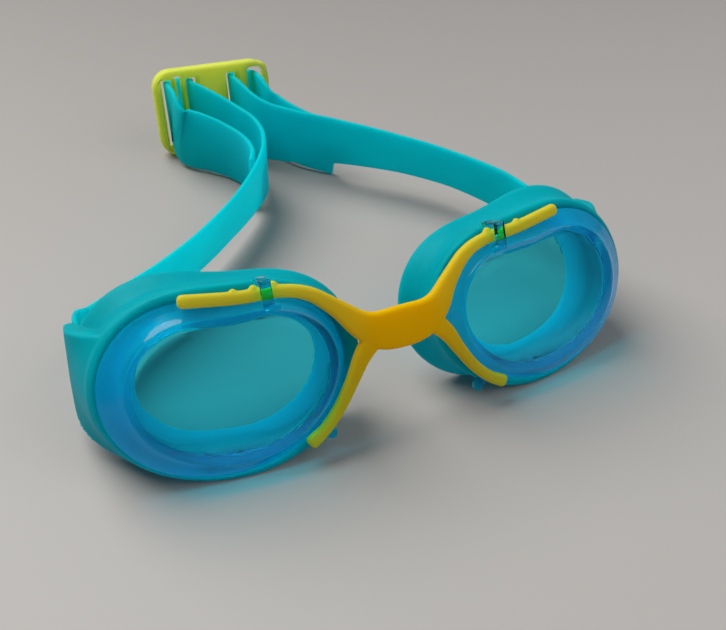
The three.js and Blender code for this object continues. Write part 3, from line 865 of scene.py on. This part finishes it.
NEAR = STRAP["front"]
FAR = STRAP["rear"]
LEFT_BAND = [
    at_ear(-1, 0, 7), at_ear(-1, 4, 9), at_ear(-1, 8.5, 11.5),
    station(-66.2, 41.2, 14.4, 13.2, 0.04, -0.04),
    station(-58.0, 46.4, 13.8, NEAR, 0.08, -0.1),
    station(-44.8, 55.0, 12.8, NEAR, 0.1, -0.13),
    station(-30.2, 65.6, 12.4, 14.8, 0.1, -0.13),
    station(-15.6, 78.7, 12.4, 15.6, 0.1, -0.12),
    station(-3.5, 92, 12.6, 17.8, 0.06, -0.06),
    station(4.2, 104, 12.6, 20.0, 0.0, 0.0),
    station(6.4, 115.5, 12.8, FAR, -0.06, 0.06),
    station(2.2, 127.5, 13.4, FAR, -0.02, 0.14),
    *through_buckle(-1),
    station(-14.2, 135.2, 12.2, FAR, -0.04, 0.16),
    station(-8.6, 128.6, 11.6, 21.2, -0.06, 0.1),
    station(-3.2, 121.4, 11.0, 20.6, -0.06, 0.04),
    station(0.4, 112.5, 10.6, 20.0, -0.04, 0.0),
    station(0.4, 105, 10.3, 19.4, 0.0, 0.0),
    station(-2.0, 99, 10.0, 18.8, 0.0, 0.0),
]
RIGHT_BAND = [
    at_ear(1, 0, 7), at_ear(1, 4, 9), at_ear(1, 8.5, 11.5),
    station(69.0, 47, 14.8, 13.2, -0.02, -0.02),
    station(66.2, 60, 14.6, NEAR, -0.08, -0.06),
    station(58.6, 76.6, 14.5, 14.2, -0.12, -0.1),
    station(47.0, 91.0, 15.0, 15.2, -0.12, -0.12),
    station(32, 105.6, 15.1, 16.8, -0.04, -0.04),
    station(19, 116.5, 14.6, 19.2, 0.06, 0.06),
    station(11.2, 127.5, 14.0, 21.0, 0.04, 0.16),
    *through_buckle(1),
    station(17.6, 133.5, 12.8, FAR, 0.04, 0.16),
    station(23.4, 121, 11.2, 20.4, 0.06, 0.08),
    station(32.4, 110.6, 9.9, 19.6, 0.04, 0.04),
]


def band_ring(stations, t):
    count = len(stations) - 1
    place = min(int(t * count), count - 1)
    share = t * count - place
    here = stations[place]
    there = stations[place + 1]
    value, slope = spline([s[:3] for s in stations], t)
    up = Vector(here[4:]).lerp(Vector(there[4:]), share)
    width = mix(here[3], there[3], share)
    along = Vector(slope).normalized()
    across = along.cross(up).normalized()
    high = across.cross(along).normalized()
    ring = []
    for a, b in rounded_outline(STRAP["thick"], width, STRAP["thick"] / 2 - 0.1, 4):
        ring.append(Vector(value) + across * a + high * b)
    return ring


def band_mesh(stations, first, last, per_station=14):
    steps = max(2, int((last - first) * per_station * (len(stations) - 1)))
    return loft([band_ring(stations, mix(first, last, i / steps)) for i in range(steps + 1)], False)


def make_strap(side, stations, name):
    """A short end held on the ear's stud, and the long band behind it."""
    node = "strap_left" if side < 0 else "strap_right"
    count = len(stations) - 1
    cut = 2.0 / count
    end = joined(name + "_end", [band_mesh(stations, 0, cut, 24)])
    half = STRAP["thick"] / 2
    at = Vector((side * TAB_X, STUD_AT.y, STUD_AT.z))
    out = Vector((half, 0, side * half * EAR["lean"]))
    combine(end, [rod(at - out, at + out, STRAP["eyelet"], 0.3, 64)], "UNION")
    combine(end, [rod(at - 4 * out, at + 4 * out, STUD["radius"] + GAP, 0, 48)], "DIFFERENCE")
    # Both strap pieces take the lighter, painted-light teal.
    finish_piece(end, name + "_end", None, None, (TEAL_BAND_PAINTED_LIGHT,))
    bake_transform(end)
    band = joined(name, [band_mesh(stations, cut, 1)])
    finish_piece(band, name, None, node, (TEAL_BAND_PAINTED_LIGHT,))
    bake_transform(band)


# ---- stage ----------------------------------------------------------------------------------
FLOOR_NEAR = (0.38, 0.36, 0.345)
# The far colour is painted shade toward the back of the floor.
FLOOR_FAR_SHADE = (0.17, 0.15, 0.14)
ROOM_COLOUR = (0.62, 0.82, 1.0, 1)
ROOM_STRENGTH = 0.2
WARM_WHITE = (1.0, 0.975, 0.94)
FILL_WHITE = (1.0, 0.97, 0.94)
CAMERA_AT = Vector((-76.5, -130.2 + DATUM_Y, 131.3 + CUP_Z)) * MM
CAMERA_RIGHT = Vector((0.9031, -0.4282, 0.0338))
CAMERA_UP = Vector((0.2492, 0.5864, 0.7708))
FOCAL = 42.13
SENSOR = 36


def make_camera():
    back = CAMERA_RIGHT.cross(CAMERA_UP).normalized()
    turn = Matrix((CAMERA_RIGHT, CAMERA_UP, back)).transposed().to_4x4()
    data = bpy.data.cameras.new("camera")
    data.lens = FOCAL
    data.sensor_width = SENSOR
    data.clip_start = 0.01
    camera = bpy.data.objects.new("camera", data)
    camera.matrix_world = Matrix.Translation(CAMERA_AT) @ turn
    bpy.context.scene.collection.objects.link(camera)
    bpy.context.scene.camera = camera


def make_floor():
    """A plain pale table top, with painted shade that makes it darker away from the camera."""
    bm = bmesh.new()
    bmesh.ops.create_grid(bm, x_segments=1, y_segments=1, size=3)
    mesh = bpy.data.meshes.new("floor")
    bm.to_mesh(mesh)
    bm.free()
    floor = object_of("floor", mesh)
    floor.location.z = -0.0001
    material, nodes, links, shader = new_material("pale_floor")
    # Painted shade: the floor's colour darkens toward the back.
    deep = nodes.new("ShaderNodeMapRange")
    deep.inputs["From Min"].default_value = -0.12
    deep.inputs["From Max"].default_value = 0.45
    links.new(coordinate(nodes, links, "Y"), deep.inputs["Value"])
    pale = ramp(nodes, links, deep.outputs["Result"], ((0, FLOOR_NEAR), (1, FLOOR_FAR_SHADE)))
    links.new(pale, shader.inputs["Base Color"])
    shader.inputs["Roughness"].default_value = 0.6
    mesh.materials.append(material)


def area_light(name, at, size, watts, colour):
    data = bpy.data.lights.new(name, "AREA")
    data.shape = "DISK"
    data.size = size
    data.energy = watts
    data.color = colour
    light = bpy.data.objects.new(name, data)
    light.location = at
    light.rotation_euler = (Vector((0, 0, 0.01)) - Vector(at)).to_track_quat("-Z", "Y").to_euler()
    bpy.context.scene.collection.objects.link(light)


def make_light():
    area_light("window_light", (-0.7, 1.2, 1.75), 2.0, 72, WARM_WHITE)
    area_light("room_fill", (0.6, -0.6, 0.9), 1.0, 4.2, FILL_WHITE)
    world = bpy.data.worlds.new("room")
    world.use_nodes = True
    world.node_tree.nodes["Background"].inputs["Color"].default_value = ROOM_COLOUR
    world.node_tree.nodes["Background"].inputs["Strength"].default_value = ROOM_STRENGTH
    bpy.context.scene.world = world
    bpy.context.scene.view_settings.view_transform = "Standard"


make_camera()
make_lens(1, "lens_right_clear", "right_cup", "lens_right")
make_lens(-1, "lens_left_clear", "left_cup", "lens_left")
make_seal(1, "seal_right_skin", "right_cup", "seal_right")
make_seal(-1, "seal_left_skin", "left_cup", "seal_left")
make_bridge()
make_buckle()
make_strap(-1, LEFT_BAND, "strap_left_band")
make_strap(1, RIGHT_BAND, "strap_right_band")
make_floor()
make_light()
